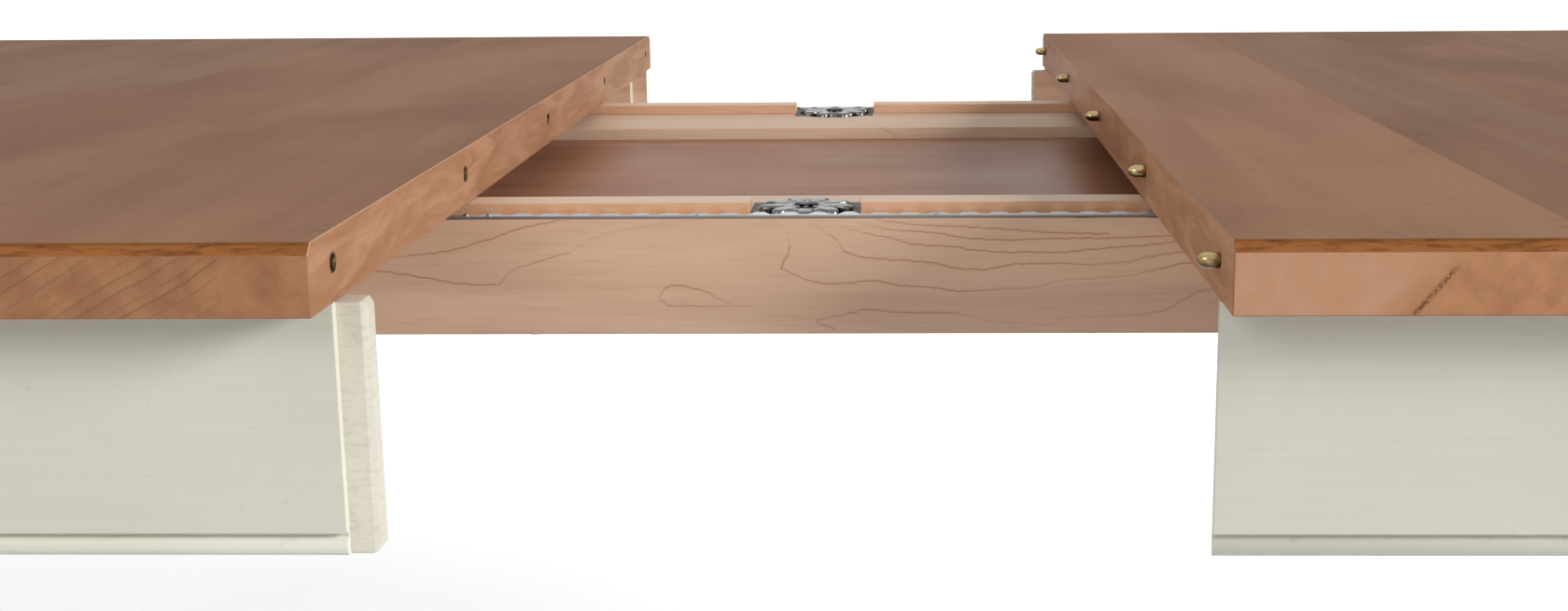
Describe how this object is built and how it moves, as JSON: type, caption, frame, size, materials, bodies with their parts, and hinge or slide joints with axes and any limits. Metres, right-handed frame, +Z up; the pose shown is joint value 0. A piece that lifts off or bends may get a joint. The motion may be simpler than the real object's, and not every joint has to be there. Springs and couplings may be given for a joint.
{
  "type": "butterfly leaf table",
  "caption": "Extending dining table pulled open: top halves slide apart on geared box slides over a folded leaf stored in the gap.",
  "frame": {"origin": "on the floor, at the centre of the table", "axes": "+X along the table to the right half, +Y across the table to the rear, +Z up"},
  "size_m": [1.905, 1.067, 0.762],
  "materials": {
    "stained_top": "stained maple under satin lacquer",
    "stained_leaf": "stained maple under gloss lacquer",
    "painted_wood": "off-white satin paint",
    "slide_maple": "clear satin lacquer",
    "bare_hardwood": "bare sanded wood",
    "steel": "zinc plated",
    "plated_gear": "bright plated casting",
    "brass": "polished",
    "glide_plastic": "matte"
  },
  "bodies": {
    "center_frame": {"bearer_screws": "steel", "front_gear_pivot": "steel", "front_inner_rail": "slide_maple", "front_keeper": "slide_maple", "front_left_strip": "slide_maple", "front_outer_rail": "slide_maple", "front_right_strip": "slide_maple", "leaf_bearers": "bare_hardwood", "leaf_hinge_pins": "brass", "leaf_hinge_plates": "brass", "leaf_lower_panel": "stained_leaf", "leaf_upper_panel": "stained_leaf", "rear_gear_pivot": "steel", "rear_inner_rail": "slide_maple", "rear_keeper": "slide_maple", "rear_left_strip": "slide_maple", "rear_outer_rail": "slide_maple", "rear_right_strip": "slide_maple"},
    "left_half": {"left_cleats": "bare_hardwood", "left_corner_blocks": "bare_hardwood", "left_end_apron": "painted_wood", "left_front_apron": "painted_wood", "left_front_hanger_block": "bare_hardwood", "left_front_inner_rack": "steel", "left_front_leg": "painted_wood", "left_front_slide_bar": "slide_maple", "left_front_tongue": "painted_wood", "left_glides": "glide_plastic", "left_leg_bolts": "steel", "left_pin_sockets": "brass", "left_rear_apron": "painted_wood", "left_rear_hanger_block": "bare_hardwood", "left_rear_inner_rack": "steel", "left_rear_leg": "painted_wood", "left_rear_slide_bar": "slide_maple", "left_top": "stained_top", "left_top_screws": "steel"},
    "right_half": {"right_alignment_pins": "brass", "right_cleats": "bare_hardwood", "right_corner_blocks": "bare_hardwood", "right_end_apron": "painted_wood", "right_front_apron": "painted_wood", "right_front_hanger_block": "bare_hardwood", "right_front_leg": "painted_wood", "right_front_outer_rack": "steel", "right_front_slide_bar": "slide_maple", "right_glides": "glide_plastic", "right_leg_bolts": "steel", "right_rear_apron": "painted_wood", "right_rear_hanger_block": "bare_hardwood", "right_rear_leg": "painted_wood", "right_rear_outer_rack": "steel", "right_rear_slide_bar": "slide_maple", "right_rear_tongue": "painted_wood", "right_top": "stained_top", "right_top_screws": "steel"},
    "front_gear": {"front_equalizer_gear": "plated_gear"},
    "rear_gear": {"rear_equalizer_gear": "plated_gear"}
  },
  "joints": [
    {"name": "left_half_slide", "type": "slide", "parent": "center_frame", "child": "left_half", "axis": [1, 0, 0], "range_m": [-0.082, 0.1903]},
    {"name": "right_half_slide", "type": "slide", "parent": "center_frame", "child": "right_half", "axis": [-1, 0, 0], "range_m": [-0.082, 0.1903]},
    {"name": "front_gear_turn", "type": "hinge", "parent": "center_frame", "child": "front_gear", "pos_m": [0, -0.226, 0.72], "axis": [0, 0, 1], "range_deg": [-453.3, 195.4]},
    {"name": "rear_gear_turn", "type": "hinge", "parent": "center_frame", "child": "rear_gear", "pos_m": [0, 0.226, 0.72], "axis": [0, 0, 1], "range_deg": [-195.4, 453.3]}
  ],
  "couplings": [
    {"joint": "right_half_slide", "follows": "left_half_slide", "ratio": 1},
    {"joint": "front_gear_turn", "follows": "left_half_slide", "rad_per_m": -41.555},
    {"joint": "rear_gear_turn", "follows": "left_half_slide", "rad_per_m": 41.555}
  ]
}
